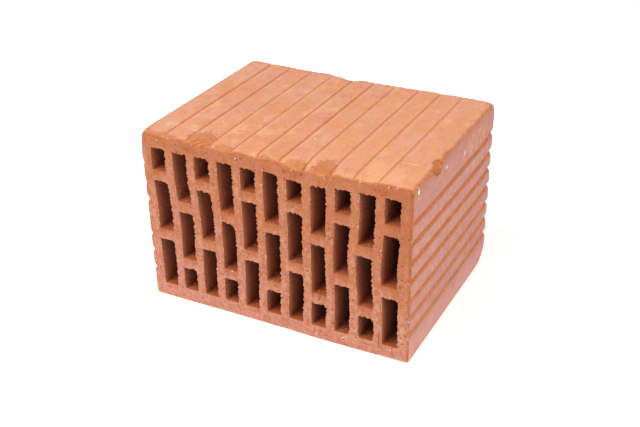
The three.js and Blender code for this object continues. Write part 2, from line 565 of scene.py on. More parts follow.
# From one wave or ripple to the next, in the pressed skin and in the cut faces.
SKIN_WAVE, SKIN_RIPPLE, CUT_WAVE, CUT_RIPPLE = 38 * MM, 9 * MM, 16 * MM, 3.5 * MM
SKIN_INSET = 0.2 * MM          # how far inside its true place the skin lies
EDGE_RUB = 0.62                # how bare the rounded edges along the block are rubbed
GROOVE_END = 5 * MM            # length over which a groove in the top runs out
# How far behind its edge each kind of wear reaches.
FRONT_REACH, BACK_REACH, FOOT_REACH, BLUNT_REACH = 8 * MM, 4 * MM, 6 * MM, 2.5 * MM
CORNER_REACH, WAVE_REACH, TEAR_REACH, BURR_REACH = 6 * MM, 4 * MM, 1.6 * MM, 1.2 * MM
# Hollows in the edges across the block, and one broad rise in the top: the middle, half width
# and depth or height of each.
FRONT_HOLLOWS = (
    (-131, 8, 0.7), (-119, 12, 0.9), (-83, 11, 2.5), (-55, 14, 2.0), (-18, 9, 2.2), (27, 12, 5.0),
    (40, 6, 1.0), (54, 13, 5.7), (80, 8, 2.6), (98, 9, 2.6),
)
BACK_HOLLOWS = ((-21, 12, 2.8), (15, 25, 0.6))
FOOT_HOLLOWS = ((130, 24, 1.3), (52, 22, -0.9))
TOP_RISE = ((-150, 50, 1.0),)
# Corners of the block that are rubbed, each with the way that it went in, and how far at the
# corner itself and around it. All are in millimetres.
RUBBED_CORNERS = (
    ((LEFT, FRONT, TOP), (0.97, 0, -0.25), 1.1, 9),
    ((RIGHT, BACK, TOP), (-0.67, -0.67, -0.3), 1.8, 7),
    ((RIGHT, BACK, 0), (-0.58, -0.58, 0.58), 3.4, 12),
    ((LEFT, BACK, TOP), (0.58, -0.58, -0.58), 0.6, 4),
    ((LEFT, BACK, 0), (0.58, -0.58, 0.58), 2.2, 7),
)


def grid_section(section):
    """A sheet of the section at the front cut face, with its slots cut out."""
    deselect_all()
    nx, nz = len(section.lines_x) - 1, len(section.lines_z) - 1
    bpy.ops.mesh.primitive_grid_add(x_subdivisions=nx, y_subdivisions=nz, size=2)
    block = bpy.context.object
    block.name = block.data.name = "worn_clay_block"
    points = read_points(block.data)
    i = np.rint((points[:, 0] + 1) / 2 * nx).astype(int)
    j = np.rint((points[:, 1] + 1) / 2 * nz).astype(int)
    spot = block.data.attributes.new("spot", "INT", "POINT")
    spot.data.foreach_set("value", (i * (nz + 1) + j).astype(np.int32))
    sheet = in_edit_mode(block)
    layer = sheet.verts.layers.int["spot"]
    for face in sheet.faces:
        first = min(vert[layer] for vert in face.verts)
        face.select = bool(section.in_slot(*divmod(first, nz + 1)))
    bmesh.update_edit_mesh(block.data)
    bpy.ops.mesh.delete(type="FACE")
    bpy.ops.object.mode_set(mode="OBJECT")
    points = read_points(block.data)
    at = read_spots(block.data)
    points[:, 0] = section.x.ravel()[at]
    points[:, 1] = LOW[1]
    points[:, 2] = section.z.ravel()[at]
    write_points(block.data, points)
    return block


def read_spots(mesh):
    spots = np.empty(len(mesh.vertices), np.int32)
    mesh.attributes["spot"].data.foreach_get("value", spots)
    return spots


def draw_out(block):
    """The sheet drawn out along the block, row by row."""
    in_edit_mode(block)
    bpy.ops.mesh.select_all(action="SELECT")
    rows = (0, *FRONT_ROWS, *(BACK - FRONT - row for row in BACK_ROWS))
    for step in np.diff(rows):
        bpy.ops.mesh.extrude_region_move(
            TRANSFORM_OT_translate={"value": (0, float(step) * MM, 0)})
    bpy.ops.mesh.select_all(action="SELECT")
    bpy.ops.mesh.normals_make_consistent(inside=False)
    bpy.ops.object.mode_set(mode="OBJECT")


def divide_for_chip(block):
    """Cross cuts where the chip is broken out of the upper right edge."""
    mesh = in_edit_mode(block, "EDGE")
    front, back = (LOW[1] + row * MM for row in CHIP_ROWS)
    slack = 0.1 * MM
    for edge in mesh.edges:
        a, b = edge.verts[0].co, edge.verts[1].co
        near = min(a.x, b.x) > CHIP_FROM[0] * MM and min(a.z, b.z) > CHIP_FROM[1] * MM
        span = abs(min(a.y, b.y) - front) < slack and abs(max(a.y, b.y) - back) < slack
        edge.select = near and span
    bmesh.update_edit_mesh(block.data)
    bpy.ops.mesh.subdivide(number_cuts=CHIP_CUTS)
    bpy.ops.object.mode_set(mode="OBJECT")


class WornPoints:
    """Every point of the block on its way to its worn place."""

    def __init__(self, block, section):
        self.mesh, self.section = block.data, section
        self.size, self.wear = section.size, section.wear
        self.points = read_points(self.mesh)
        self.at = read_spots(self.mesh)
        self.x, self.y, self.z = self.points.T.copy()
        self.front, self.back = self.y - LOW[1], HIGH[1] - self.y
        last_x, last_z = len(section.lines_x) - 1, len(section.lines_z) - 1
        i, j = np.divmod(self.at, last_z + 1)
        self.top, self.left, self.right = j == last_z, i == 0, i == last_x
        self.outline = self.top | (j == 0) | self.left | self.right
        # How far into the wall over the slots, and the wall under them, each point lies.
        level, wall = section.lines_z[j], self.size.face_wall
        self.over, self.under = fall(HIGH[2] - level, wall), fall(level, wall)
        self.worn = np.where(self.outline, EDGE_RUB * self.mark("edged"), 0.0)
        self.grooved = np.where(self.outline, self.mark("grooved"), 0.0)
        rng = np.random.default_rng(self.wear.seed + 2)
        self.jag = rng.uniform(-1, 1, len(section.lines_x))[i]

    def mark(self, name):
        """What the section knows of each point under a name."""
        return self.section.marks[name].ravel()[self.at]

    def along(self, size, shift):
        """Ripple that runs across the block and is the same all along it."""
        return ripple(self.points * (1, 0, 0) + shift, size * MM)

    def wave_skin(self):
        """The pressed skin is a little uneven, and lies just inside its true place."""
        lift = ripple(self.points * (1, 0.5, 1), SKIN_WAVE)
        lift += 0.3 * ripple(self.points + 3.0, SKIN_RIPPLE)
        lift = (self.wear.skin_waves * lift + SKIN_INSET) * self.outline
        self.x += (self.left * 1.0 - self.right * 1.0) * lift
        self.z -= self.top * lift
        self.z += bumps_at(self.x, TOP_RISE) * self.over

    def bow_side(self):
        """The grooves of the right side bow up towards both its ends, and most at the back."""
        y, level = self.y / MM, self.z / MM
        least, at_ends, at_back = 0.2 * MM, 1.1 * MM, 1.8 * MM
        bow = least + at_ends * (y / 100) ** 2 + at_back * fade_in(y, 80, BACK)
        bow *= fade_in(self.x, HIGH[0] - self.size.side_wall, HIGH[0])
        self.z += bow * fade_in(np.minimum(level, TOP - level), 10, 30)

    def blunt(self, gap):
        """How much of a blunt edge of the top each point takes part in."""
        return fall(gap, BLUNT_REACH) * fade_in(self.over, 0.78, 1)

    def rub_front_edge(self):
        """The front edge of the top is rubbed down, with deeper hollows in places."""
        drop = self.wear.edge_drop + 0.5 * MM * self.along(7, 9.0)
        drop *= fall(self.front, FRONT_REACH, 1.6)
        hollow = bumps_at(self.x, FRONT_HOLLOWS)
        drop += hollow * fall(self.front, 6 * MM + 5 * hollow, 1.3)
        self.z -= drop * self.over
        blunt = self.blunt(self.front)
        nicks = self.wear.fine_nicks * (1.5 * self.along(2.6, 5.0) + self.jag)
        self.z -= nicks * blunt
        self.y += (0.9 * MM + nicks) * blunt
        self.fill_grooves(self.front, 5 * MM, 0.6)

    def fill_grooves(self, gap, start, share):
        """The grooves in the top run out near an edge, filled up to a share of their depth."""
        fill = np.where(self.top, share * fade_in(start - gap, 0, GROOVE_END), 0)
        self.z += self.section.groove.top_depth * self.grooved * fill
        self.grooved = self.grooved * (1 - fill)

    def rub_back_edge(self):
        """The back edge of the top is ragged."""
        ragged = 0.3 * MM + bumps_at(self.x, BACK_HOLLOWS) + 0.5 * MM * self.along(9, 4.0)
        ragged = np.maximum(ragged, 0)
        slope = fall(self.back, BACK_REACH + 3 * ragged, 2)
        self.z -= ragged * slope * self.over
        blunt = self.blunt(self.back)
        nicks = self.wear.fine_nicks * self.along(3.0, 7.0)
        self.z -= nicks * blunt
        self.y -= (0.8 * MM + nicks) * blunt
        self.worn = np.maximum(self.worn, np.where(self.top, 0.7 * slope ** 0.6, 0.0))
        self.fill_grooves(self.back, 6 * MM, 0.65)
        # The wire left the back face a little short towards its lower right.
        short = 1.2 * MM * fade_in(self.x / MM, 90, 140) * fade_in(TOP - self.z / MM, 40, 55)
        self.y -= short * fall(self.back, 40 * MM)

    def rub_foot(self):
        """The front edge of the underside is rubbed off a little."""
        lift = self.wear.foot_lift * fade_in(self.x / MM, -110, -50)
        lift += bumps_at(self.x, FOOT_HOLLOWS) + 0.3 * MM * self.along(8, 6.0)
        self.z += np.maximum(lift, 0) * fall(self.front, FOOT_REACH, 2) * self.under

    def break_corners(self):
        """The corners of some slots broke at their mouths."""
        for gap, (dx, dz) in zip((self.front, self.back), self.section.broken):
            share = bell(gap, CORNER_REACH)
            self.x += dx.ravel()[self.at] * share
            self.z += dz.ravel()[self.at] * share

    def tear_with_wire(self):
        """The wire leaves the cut faces slightly wavy, and tears the rims of the slots."""
        wear, flat = self.wear, self.points * (1, 0, 1)
        rims = self.section.rim.reshape(-1, 2)[self.at]
        rng = np.random.default_rng(wear.seed + 1)
        for gap, side in ((self.front, 1), (self.back, -1)):
            waves = ripple(flat + side * 5.0, CUT_WAVE)
            waves += 0.35 * ripple(flat + side * 7.0, CUT_RIPPLE)
            self.y += wear.cut_waves * waves * fall(gap, WAVE_REACH)
            jag = rng.uniform(-1, 1, self.section.x.size)[self.at]
            tear = 0.3 + 1.1 * ripple(flat + side * 11.0, wear.tooth) + 0.7 * jag
            tear *= self.mark("teeth") * np.exp(-gap / TEAR_REACH)
            self.x += rims[:, 0] * tear
            self.z += rims[:, 1] * tear
            self.y += side * 0.3 * abs(tear)
            # A burr stands out along the upper rims.
            burr = wear.burr * self.mark("burred") * (0.8 + 0.6 * jag)
            self.y -= side * burr * fall(gap, BURR_REACH)

    def finish(self):
        """Rubs the corners of the block, breaks the chip out and writes it all back."""
        points = np.stack((self.x, self.y, self.z), axis=1)
        whole = points.copy()
        for corner, inward, depth, reach in RUBBED_CORNERS:
            share = bell(np.linalg.norm(whole - np.array(corner) * MM, axis=1), reach * MM)
            points += share[:, None] * np.array(inward) * depth * MM
            self.worn = np.maximum(self.worn, 0.8 * share * self.outline)
        chipped = np.zeros(len(points))
        for centre, radii in CHIP_BITES * 2:
            points, bitten = bite(points, centre, radii)
            chipped = np.maximum(chipped, bitten)
        write_points(self.mesh, points)
        for name, values in (
            ("worn", self.worn), ("chipped", chipped), ("grooved", self.grooved),
            ("painted_shoulder_highlight", self.mark("painted_shoulder_highlight") * self.outline),
            ("limed", self.near_front(LIME_GRAINS)), ("pitted", self.near_front(DARK_PITS)),
            *((name, self.mark(name)) for name in ("sill", "crumbed", "shaded", "painted_roof_shade")),
        ):
            note(self.mesh, name, values)

    def near_front(self, places):
        """1 at the point of the front cut face nearest to each place, in millimetres."""
        marked = np.zeros(len(self.x))
        cut = np.flatnonzero(self.front < 0.1 * MM)
        for x, z in places:
            gap = np.hypot(self.x[cut] - x * MM, self.z[cut] - z * MM)
            marked[cut[np.argmin(gap)]] = 1
        return marked


# Grains of lime and dark pits that show in the front cut face, across and up in millimetres.
LIME_GRAINS = (
    (-127, 181), (-113, 185), (-87, 184), (-51, 168), (-50, 169), (-37, 180), (42, 164), (56, 182),
    (-132, 126), (-9, 158), (-49, 52), (-48, 53), (-63, 59), (-3, 53), (-40, 22), (23, 180),
    (46, 5), (74, 9), (75, 10), (78, 11), (88, 22), (89, 12), (107, 14), (99, 6), (125, 12),
    (126, 11), (115.8, 58), (143.4, 91), (113, 118), (119.6, 185), (127.2, 185), (92, 183),
    (143.8, 134), (143.8, 50), (143.8, 32),
)
DARK_PITS = (
    (-118, 176), (-104, 172), (-36, 178), (-32, 181), (-16, 172), (14, 178), (26, 170), (33, 178),
    (-56, 110), (-55, 113), (-52, 107), (-96, 78), (-104, 112), (-30, 20), (-28, 22), (-63, 57),
    (50, 47), (49, 48), (23, 143), (27, 148), (66, 24), (64, 40), (127, 13), (76, 8), (122, 118),
    (96, 77), (138, 22), (136, 28), (140, 31), (133, 37), (62, 117), (80, 133), (106.7, 178.7),
)


def wear_block(block, section):
    worn = WornPoints(block, section)
    worn.wave_skin()
    worn.bow_side()
    worn.rub_front_edge()
    worn.rub_back_edge()
    worn.rub_foot()
    worn.break_corners()
    worn.tear_with_wire()
    worn.finish()


def bite(points, centre, radii):
    """The points inside an egg-shaped bite pushed back onto its ragged surface."""
    centre, radii, squareness = np.array(centre) * MM, np.array(radii) * MM, 2.7
    local = (points - centre) / radii
    ragged = 1 + 0.16 * ripple(points + 1.0, 3 * MM) + 0.1 * ripple(points + 2.0, 8 * MM)
    far = (abs(local) ** squareness).sum(axis=1) ** (1 / squareness) / ragged
    near_edge = points[:, 0] > CHIP_LIMIT * MM
    inside = (far < 1) & near_edge
    out = points.copy()
    out[inside] = centre + radii * local[inside] / far[inside][:, None]
    rim = 0.12
    return out, fade_in(1 + rim - far, 0, rim) * near_edge


def note(mesh, name, values):
    attribute = mesh.attributes.new(name, "FLOAT", "POINT")
    attribute.data.foreach_set("value", values.astype(np.float32))


CUT, SKIN, SLOT = 0, 1, 2      # the block's materials, by their number
SMOOTH_ANGLE = math.radians(38)


def assign_clay(block, section):
    """Gives the cut faces, the pressed skin and the slot walls their own clay."""
    mesh = block.data
    spots = read_spots(mesh)
    nz = len(section.lines_z)
    i, j = np.divmod(spots, nz)
    outline = (i == 0) | (j == 0) | (i == len(section.lines_x) - 1) | (j == nz - 1)
    kinds = np.full(len(mesh.polygons), CUT, np.int32)
    for n, face in enumerate(mesh.polygons):
        corners = list(face.vertices)
        if len({int(spots[v]) for v in corners}) == 4:
            continue
        kinds[n] = SKIN if all(outline[v] for v in corners) else SLOT
    mesh.polygons.foreach_set("material_index", kinds)


def finish_block(block):
    deselect_all()
    block.select_set(True)
    bpy.context.view_layer.objects.active = block
    bpy.ops.object.shade_smooth_by_angle(angle=SMOOTH_ANGLE)
    block.data.attributes.remove(block.data.attributes["spot"])


# ---- Clay materials --------------------------------------------------------------------------


class Nodes:
    """A node tree as its nodes are laid down."""

    def __init__(self, owner):
        owner.use_nodes = True
        self.tree = owner.node_tree

    def add(self, kind, **settings):
        node = self.tree.nodes.new(kind)
        for key, value in settings.items():
            setattr(node, key, value)
        return node

    def put(self, value, socket):
        if isinstance(value, bpy.types.NodeSocket):
            self.tree.links.new(value, socket)
        elif hasattr(socket.default_value, "__len__") and len(socket.default_value) == 4:
            socket.default_value = (*value, 1.0) if len(value) == 3 else value
        else:
            socket.default_value = value

    def maths(self, operation, *values):
        node = self.add("ShaderNodeMath", operation=operation)
        for value, socket in zip(values, node.inputs):
            self.put(value, socket)
        return node.outputs[0]


class Clay(Nodes):
    """One clay. Its places and sizes are all in millimetres."""

    def __init__(self, name, tone):
        self.material = bpy.data.materials.new(name)
        super().__init__(self.material)
        self.material.diffuse_color = (*tone, 1.0)
        self.shader = self.tree.nodes["Principled BSDF"]
        self.shader.inputs["Roughness"].default_value = 0.9
        self.shader.inputs["Specular IOR Level"].default_value = 0.25
        self.place = self.add("ShaderNodeTexCoord").outputs["Object"]

    def join(self, operation, values):
        """Two or more values taken together, one after the other."""
        whole = values[0]
        for value in values[1:]:
            whole = self.maths(operation, whole, value)
        return whole

    def times(self, *values):
        return self.join("MULTIPLY", values)

    def plus(self, *values):
        return self.join("ADD", values)

    def greatest(self, *values):
        return self.join("MAXIMUM", values)

    def less(self, value, taken):
        return self.maths("SUBTRACT", value, taken)

    def ramp(self, value, low, high, least=0.0, most=1.0):
        """From the least at the low value to the most at the high one. Low may be above high."""
        node = self.add("ShaderNodeMapRange", interpolation_type="SMOOTHSTEP")
        for v, socket in zip((value, low, high, least, most), node.inputs):
            self.put(v, socket)
        return node.outputs[0]

    def mix(self, factor, first, second, blend="MIX"):
        node = self.add("ShaderNodeMix", data_type="RGBA", blend_type=blend)
        for value, number in ((factor, 0), (first, 6), (second, 7)):
            self.put(value, node.inputs[number])
        return node.outputs[2]

    def coats(self, colour, coats):
        """A colour under coats of other tones. Each coat is as strong as its shares multiplied."""
        for tone, *shares in coats:
            colour = self.mix(self.times(*shares), colour, tone)
        return colour

    def stretched(self, scale, shift=(0, 0, 0)):
        node = self.add("ShaderNodeVectorMath", operation="MULTIPLY_ADD")
        for value, socket in zip((self.place, scale, shift), node.inputs):
            self.put(value, socket)
        return node.outputs[0]

    def texture(self, kind, size, shift, stretch=(1, 1, 1)):
        """A texture on the block, with features of about the given size."""
        node = self.add(kind)
        scale = tuple(share / (size * MM) for share in stretch)
        self.put(self.stretched(scale, shift), node.inputs["Vector"])
        node.inputs["Scale"].default_value = 1.0
        return node

    def noise(self, size, detail, rough, stretch=(1, 1, 1), shift=0.0):
        """Cloudy noise."""
        shift = (shift, shift * 0.7, shift * 1.3)
        node = self.texture("ShaderNodeTexNoise", size, shift, stretch)
        node.inputs["Detail"].default_value = detail
        node.inputs["Roughness"].default_value = rough
        return node.outputs["Fac"]

    def tinge(self, colour, size, depth, shift=0.0):
        """The colour with small drifts of hue in it."""
        node = self.texture("ShaderNodeTexNoise", size, (shift,) * 3)
        return self.mix(depth, colour, node.outputs["Color"], "LINEAR_LIGHT")

    def grains(self, size, radius, share, shift=0.0):
        """Small round grains strewn at random. Each is at most the radius, in cells."""
        node = self.texture("ShaderNodeTexVoronoi", size, (shift,) * 3)
        chosen = self.add("ShaderNodeSeparateColor")
        self.put(node.outputs["Color"], chosen.inputs[0])
        near = self.ramp(node.outputs["Distance"], radius * 0.6, radius, 1.0, 0.0)
        return self.times(near, self.maths("LESS_THAN", chosen.outputs[0], share))

    def attribute(self, name):
        return self.add("ShaderNodeAttribute", attribute_name=name).outputs["Fac"]

    def axis(self, number):
        """Place across, along or up."""
        node = self.add("ShaderNodeSeparateXYZ")
        self.put(self.stretched((1 / MM,) * 3), node.inputs[0])
        return node.outputs[number]

    def distance(self, centre, radii=(1, 1, 1)):
        """How far it is from a place, where each radius of an egg around it counts as 1."""
        scale = tuple(1 / (radius * MM) for radius in radii)
        shift = tuple(-middle / radius for middle, radius in zip(centre, radii))
        node = self.add("ShaderNodeVectorMath", operation="LENGTH")
        self.put(self.stretched(scale, shift), node.inputs[0])
        return node.outputs["Value"]

    def spot(self, centre, radii, soft=0.4):
        """1 inside an egg at a place on the block and 0 outside it."""
        return self.ramp(self.distance(centre, radii), 1 - soft, 1.0, 1.0, 0.0)

    def spots(self, eggs, soft):
        return self.greatest(*(self.spot(*egg, soft) for egg in eggs))

    def rings(self, centre, spacing):
        """Rings around a place, as a wave from 0 to 1."""
        wave = self.maths("SINE", self.times(self.distance(centre), math.tau / spacing))
        return self.ramp(wave, -0.1, 0.9)

    def relief(self, layers):
        """Bump from pairs of a height and its depth, coarse first."""
        normal = None
        for height, depth in layers:
            node = self.add("ShaderNodeBump")
            node.inputs["Distance"].default_value = depth * MM
            self.put(height, node.inputs["Height"])
            if normal:
                self.put(normal, node.inputs["Normal"])
            normal = node.outputs["Normal"]
        self.put(normal, self.shader.inputs["Normal"])

    def finish(self, colour):
        self.put(colour, self.shader.inputs["Base Color"])
        return self.material


# Darker patches of the cut faces and a brighter one. Each patch here and below is an egg, by its
# middle and its reach in millimetres.
CUT_DARKER_PATCHES = (
    ((114, FRONT, 180), (12, 8, 7)), ((22, FRONT, 177), (17, 8, 6)),
    ((-41, FRONT, 182), (5, 8, 4)), ((-90, FRONT, 178), (12, 8, 5)),
)
CUT_GLOW = ((137, FRONT, 22), (16, 30, 55))
CUT_SCRATCH = ((113, FRONT, 18), (0.5, 4, 12))


def make_cut_clay(tones):
    clay = Clay("cut_clay", tones.cut)
    across, up = clay.axis(0), clay.axis(2)
    cloudy = clay.noise(18, 3, 0.55)
    mottle = clay.noise(5, 4, 0.65, shift=4.0)
    grain = clay.noise(2.5, 3, 0.7, shift=9.0)
    streak = clay.noise(7, 3, 0.55, stretch=(1, 1, 0.35), shift=2.0)
    pink = clay.noise(4, 3, 0.6, shift=21.0)
    # Pinkish bloom in upright streaks, most of it low down and to the left, and none at the top. Low
    # down it is partly painted light bounced up from the floor.
    bloom_and_floor_light = clay.plus(
        clay.ramp(up, 150, 0, 0, 0.14), clay.ramp(across, 100, LEFT, 0, 0.06),
        clay.ramp(up, 160, 180, 0, -0.2))
    colour = clay.coats(tones.cut, (
        (tones.cut_dark, clay.ramp(cloudy, 0.35, 0.65, 0, 0.6)),
        (tones.cut_pale, clay.ramp(clay.plus(streak, bloom_and_floor_light), 0.52, 0.8, 0, 0.7)),
        (tones.cut_pale, clay.ramp(clay.plus(mottle, clay.times(bloom_and_floor_light, 0.5)), 0.55, 0.72, 0, 0.7)),
        (tones.cut_pink, clay.ramp(clay.plus(pink, bloom_and_floor_light), 0.6, 0.72, 0, 0.6)),
        # Darker along the top strip: partly worn clay and partly painted shade.
        (tones.cut_dark, clay.ramp(up, 168, 182, 0, 0.4)),
        (tones.cut_dark, clay.ramp(across, 90, 135, 0, 0.7), clay.ramp(up, 80, 130)),
        (tones.cut_pale, clay.spot(*CUT_GLOW, 1.0), clay.ramp(cloudy, 0.35, 0.55), 0.7),
        (tones.cut_dark, clay.ramp(mottle, 0.48, 0.32, 0, 0.75)),
        (tones.cut_dark, clay.ramp(grain, 0.52, 0.34, 0, 0.45)),
        (tones.cut_pale, clay.ramp(grain, 0.55, 0.7, 0, 0.25)),
    ))
    colour = clay.tinge(clay.tinge(colour, 5, 0.05), 1.6, 0.06, 3.0)
    # Darker listed patches, and a darker band along the right edge of the cut face.
    darkening = clay.greatest(
        clay.spots(CUT_DARKER_PATCHES, 0.8), clay.ramp(across, RIGHT - 5, RIGHT - 0.5))
    fine = clay.ramp(up, 162, 172, 0.45, 0.65)
    pits = clay.greatest(clay.grains(5, 0.15, 0.3), clay.ramp(clay.attribute("pitted"), 0.15, 0.6))
    lime = clay.greatest(
        clay.grains(9, 0.07, 0.2, shift=5.0), clay.ramp(clay.attribute("limed"), 0.35, 0.75))
    colour = clay.coats(colour, (
        # Painted shade beside the slots, with darker clay below them and along the top.
        (tones.cut_marks_and_shade, clay.attribute("shaded"), 0.6),
        # Pale crumbs in groups along the left rims.
        (tones.cream, clay.ramp(clay.attribute("crumbed"), 0.2, 0.8),
         clay.ramp(clay.noise(2.4, 2, 0.6, shift=33.0), 0.5, 0.58),
         clay.ramp(clay.noise(8, 2, 0.5, shift=37.0), 0.42, 0.6, 0.1, 0.85)),
        (tones.cut_marks_and_shade, darkening, clay.ramp(mottle, 0.4, 0.6, 0.15, 0.8)),
        (tones.pit_and_shade, clay.grains(7, 0.2, 0.35, shift=7), 0.55),
        (tones.pit_and_shade, clay.grains(3, 0.25, 0.28, shift=3), fine),
        (tones.cut_pink, clay.grains(3.8, 0.26, 0.2, shift=3.8), fine),
        (tones.pit_and_shade, pits, 0.75),
        (tones.lime, lime),
        (tones.pit_and_shade, clay.spot(*CUT_SCRATCH), 0.7),
    ))
    clay.relief(((mottle, 0.8), (grain, 0.7), (clay.less(1.0, pits), 0.5)))
    return clay.finish(colour)


# Cream specks on the top.
CREAM_PATCHES = (
    ((-125, -82, TOP), (13, 14, 6)), ((-102, -81, TOP), (15, 12, 6)),
    ((-58, -62, TOP), (14, 15, 6)), ((-33, -59, TOP), (14, 14, 6)), ((96, 60, TOP), (8, 5, 6)),
)
# Where the skin is rubbed off behind the front edge of the top.
RUBBED_PATCHES = (
    ((25, -106, 184), (16, 18, 11)), ((52, -104, 183), (18, 34, 12)),
    ((-80, -101, 184), (24, 32, 11)), ((-52, -109, 184), (17, 17, 10)),
    ((-8, -111, 184), (20, 13, 10)), ((-120, -109, 184), (30, 14, 9)),
)
DARK_PATCHES = (((43, -98, 183), (13, 12, 11)), ((57, -101, 182), (14, 7, 11)))
BRIGHT_PATCH = ((112, -90, TOP), (38, 38, 20))
# Ridges that something hard left as it was dragged over the wet clay, around each middle.
DRAG_MARKS = (
    ((-68, -121, 185), (-79, -104, 184), (13, 11, 10)),
    ((50, -93, 184), (56, -110, 183), (13, 7, 10)),
)
RING_SPACING = 5.0
WHITE_FLECKS = (
    ((RIGHT, -97.2, 180), (4, 2.4, 2.9)), ((RIGHT, -98, 184.5), (4, 0.9, 0.9)),
    ((RIGHT, -98, 174), (4, 0.9, 0.9)), ((-84, -53, TOP), (0.9, 1.2, 4)),
    ((63, 13, TOP), (0.9, 1.2, 4)), ((17, -50, TOP), (0.8, 1.2, 4)),
    ((RIGHT, -28.6, 174), (4, 1.2, 2.2)), ((141.8, -50, 180), (1.5, 1.2, 1.2)),
    ((142, -43.5, 180.7), (1.5, 1, 1)),
)
SCRATCH = ((123, -61, TOP), (11, 0.6, 4))
SHORT_LINE = ((72.5, -94.5, 185), (0.8, 10, 5))
LILAC_FLECK = ((RIGHT, 21.2, 167), (4, 1.6, 2.4))
LILAC = (0.85, 0.72, 0.95)
EDGE_STAIN = ((143, -25, TOP), (6, 17, 4))
SIDE_BLOOM = ((RIGHT, 55, 166), (8, 60, 17))


def colour_top(clay, tones, cloudy, blotch):
    """The pressed top: salmon clay with paler, brighter and darker clouds, and painted highlights
    beside its grooves.
    """
    across, along = clay.axis(0), clay.axis(1)
    drag = clay.noise(2.6, 3, 0.55, stretch=(1, 0.07, 1))
    patch = clay.noise(15, 4, 0.62, stretch=(1, 0.65, 1), shift=17.0)
    cream = clay.noise(3.5, 3, 0.65, stretch=(0.6, 1, 1))
    # There is more of the bloom towards the back and the left.
    pale = clay.plus(
        clay.ramp(along, 10, BACK, 0, 0.1), clay.ramp(across, -60, LEFT, 0, 0.14), cloudy)
    bright = clay.plus(clay.times(clay.spot(*BRIGHT_PATCH, 1.0), 0.28), patch)
    return clay.coats(tones.skin, (
        (tones.skin_dark, clay.ramp(drag, 0.4, 0.68, 0, 0.3)),
        (tones.skin_pale, clay.ramp(pale, 0.5, 0.68, 0, 0.85)),
        (tones.skin_dark, clay.ramp(blotch, 0.5, 0.66, 0, 0.7)),
        (tones.skin_glow_and_highlight, clay.ramp(across, -40, 100, 0, 0.2)),
        (tones.skin_glow_and_highlight, clay.ramp(bright, 0.54, 0.7, 0, 0.8)),
        # Painted highlight on the shoulder of each groove, strongest near the front.
        (tones.skin_glow_and_highlight, clay.attribute("painted_shoulder_highlight"), clay.ramp(patch, 0.35, 0.6),
         clay.ramp(along, FRONT + 50, FRONT + 5, 0.55, 1.1)),
        (tones.cream, clay.spots(CREAM_PATCHES, 1.0), clay.ramp(cream, 0.42, 0.62)),
    ))


def colour_side(clay, tones, cloudy, blotch):
    """The two sides: pinkish ridges with upright strokes, paler towards the foot."""
    along, up = clay.axis(1), clay.axis(2)
    stroke = clay.noise(5.5, 3, 0.6, stretch=(1, 1, 0.45), shift=13.0)
    return clay.coats(tones.side, (
        (tones.side_dark, clay.ramp(blotch, 0.55, 0.4, 0, 0.7)),
        (tones.side_warm, clay.ramp(stroke, 0.5, 0.68, 0, 0.75)),
        (tones.foot, clay.ramp(up, 34, 10), clay.ramp(cloudy, 0.3, 0.5, 0.5, 1)),
        (tones.side_dark, clay.ramp(up, 148, 165, 0, 0.5)),
        (tones.side_bloom, clay.spot(*SIDE_BLOOM, 0.8), clay.ramp(stroke, 0.46, 0.6)),
        (tones.side_brown, clay.ramp(up, 172, 183, 0, 0.6), clay.ramp(along, 20, -80, 0.5, 1.2)),
    ))


def colour_grooves(clay, tones, up):
    """Bottoms of the grooves: brown, golden low down, with darker and brighter dashes."""
    dashes = clay.noise(6, 2, 0.5, shift=29.0)
    return clay.coats(tones.groove, (
        (tones.groove_low, clay.ramp(up, 110, 60)),
        (tones.groove_dark, clay.ramp(dashes, 0.5, 0.37, 0, 0.5)),
        (tones.groove_bright, clay.ramp(dashes, 0.54, 0.67, 0, 0.6)),
    ))


def colour_bare(clay, tones, torn, grain, behind, chip, marks):
    """The bare clay under the skin: coarse grains, with the ridges of the drag marks."""
    return clay.coats(tones.bare, (
        (tones.bare_dark, clay.ramp(torn, 0.55, 0.42, 0, 0.85)),
        (tones.bare_dark, clay.spots(DARK_PATCHES, 0.8), clay.ramp(grain, 0.3, 0.5, 0.4, 1), 0.8),
        (tones.bare_dark, chip, 0.35),
        (tones.bare_dark, clay.ramp(behind, 4, 0, 0, 0.5)),
        (tones.cream, clay.ramp(grain, 0.58, 0.72, 0, 0.5)),
        (tones.cut_marks_and_shade, marks, 0.75),
    ))


